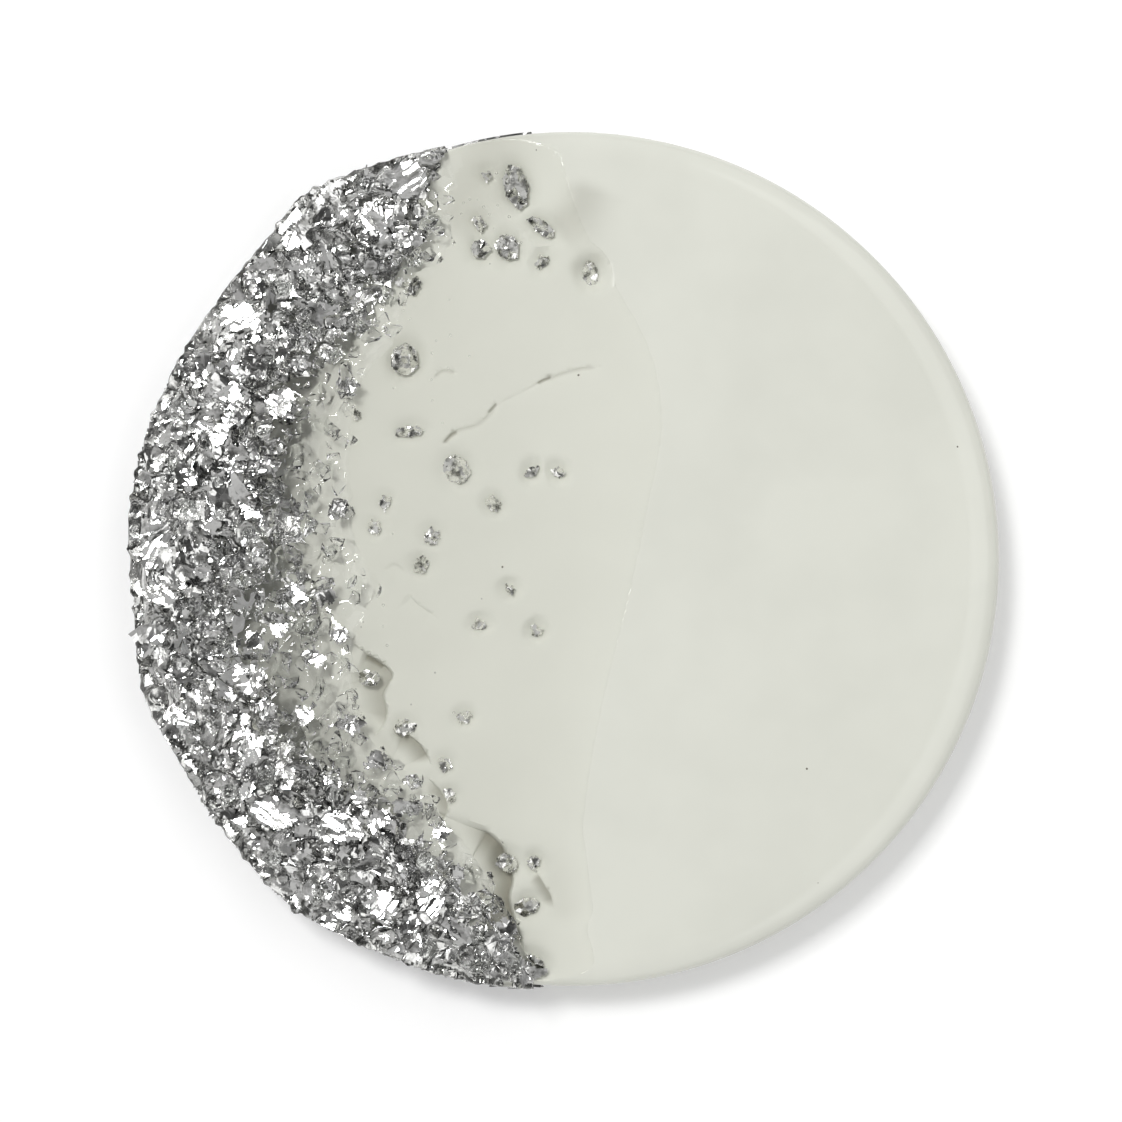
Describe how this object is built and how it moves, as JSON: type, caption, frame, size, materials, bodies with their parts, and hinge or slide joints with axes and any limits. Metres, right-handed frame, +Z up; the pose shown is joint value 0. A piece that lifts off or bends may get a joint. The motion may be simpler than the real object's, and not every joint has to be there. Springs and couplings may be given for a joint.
{
  "type": "resin coaster",
  "caption": "Round cast-resin drinks coaster: off-white and clear pours with silver flakes, and a raised crescent of crushed glass and torn silver foil along one edge.",
  "frame": {"origin": "centre of the disc on its flat base, so z = 0 is the surface the coaster lies on", "axes": "+Z is up out of the coaster's face, the crust of glass and foil lies on the -X side, and +Y is towards the end of the seam between the pours where the clear rim is bare"},
  "size_m": [0.1014, 0.1009, 0.0126],
  "materials": {
    "white_resin": "gloss",
    "clear_resin": "gloss",
    "crushed_glass": "gloss",
    "silver_foil": "crinkled, bright",
    "silver_leaf": "satin"
  },
  "bodies": {
    "root": {"clear_casting": "clear_resin", "crumbs_bottom": "silver_foil", "crumbs_middle": "silver_foil", "crumbs_top": "silver_foil", "crust_binder": "clear_resin", "flake_bead_top": "silver_foil", "flake_branch_top": "silver_foil", "flake_drop_right": "silver_foil", "flake_kite": "silver_foil", "flake_nugget_top": "silver_foil", "flake_ring_bottom": "silver_foil", "flake_rose": "silver_foil", "flake_shard_bottom": "silver_foil", "flake_sliver": "silver_foil", "flake_spur_top": "silver_foil", "flake_tail_bottom": "silver_foil", "flake_triangle": "silver_foil", "foil_crumple_southwest": "silver_foil", "foil_cup_north": "silver_foil", "foil_flakes_north": "silver_foil", "foil_flakes_northwest": "silver_foil", "foil_flakes_south": "silver_foil", "foil_flakes_southwest": "silver_foil", "foil_flakes_west": "silver_foil", "foil_fold_northwest": "silver_foil", "foil_knot_southwest": "silver_foil", "foil_leaf_west": "silver_foil", "foil_long_south": "silver_foil", "foil_peak_inner": "silver_foil", "foil_ridge_south": "silver_foil", "foil_spear_south": "silver_foil", "foil_star_north": "silver_foil", "foil_tall_west": "silver_foil", "foil_tongue_southwest": "silver_foil", "foil_wing_northwest": "silver_foil", "glass_chips_north": "crushed_glass", "glass_chips_northwest": "crushed_glass", "glass_chips_south": "crushed_glass", "glass_chips_southwest": "crushed_glass", "glass_chips_west": "crushed_glass", "silver_leaf_band": "silver_leaf", "under_foil_northwest": "silver_foil", "under_foil_southwest": "silver_foil", "under_foil_west": "silver_foil", "white_casting": "white_resin"}
  },
  "joints": []
}
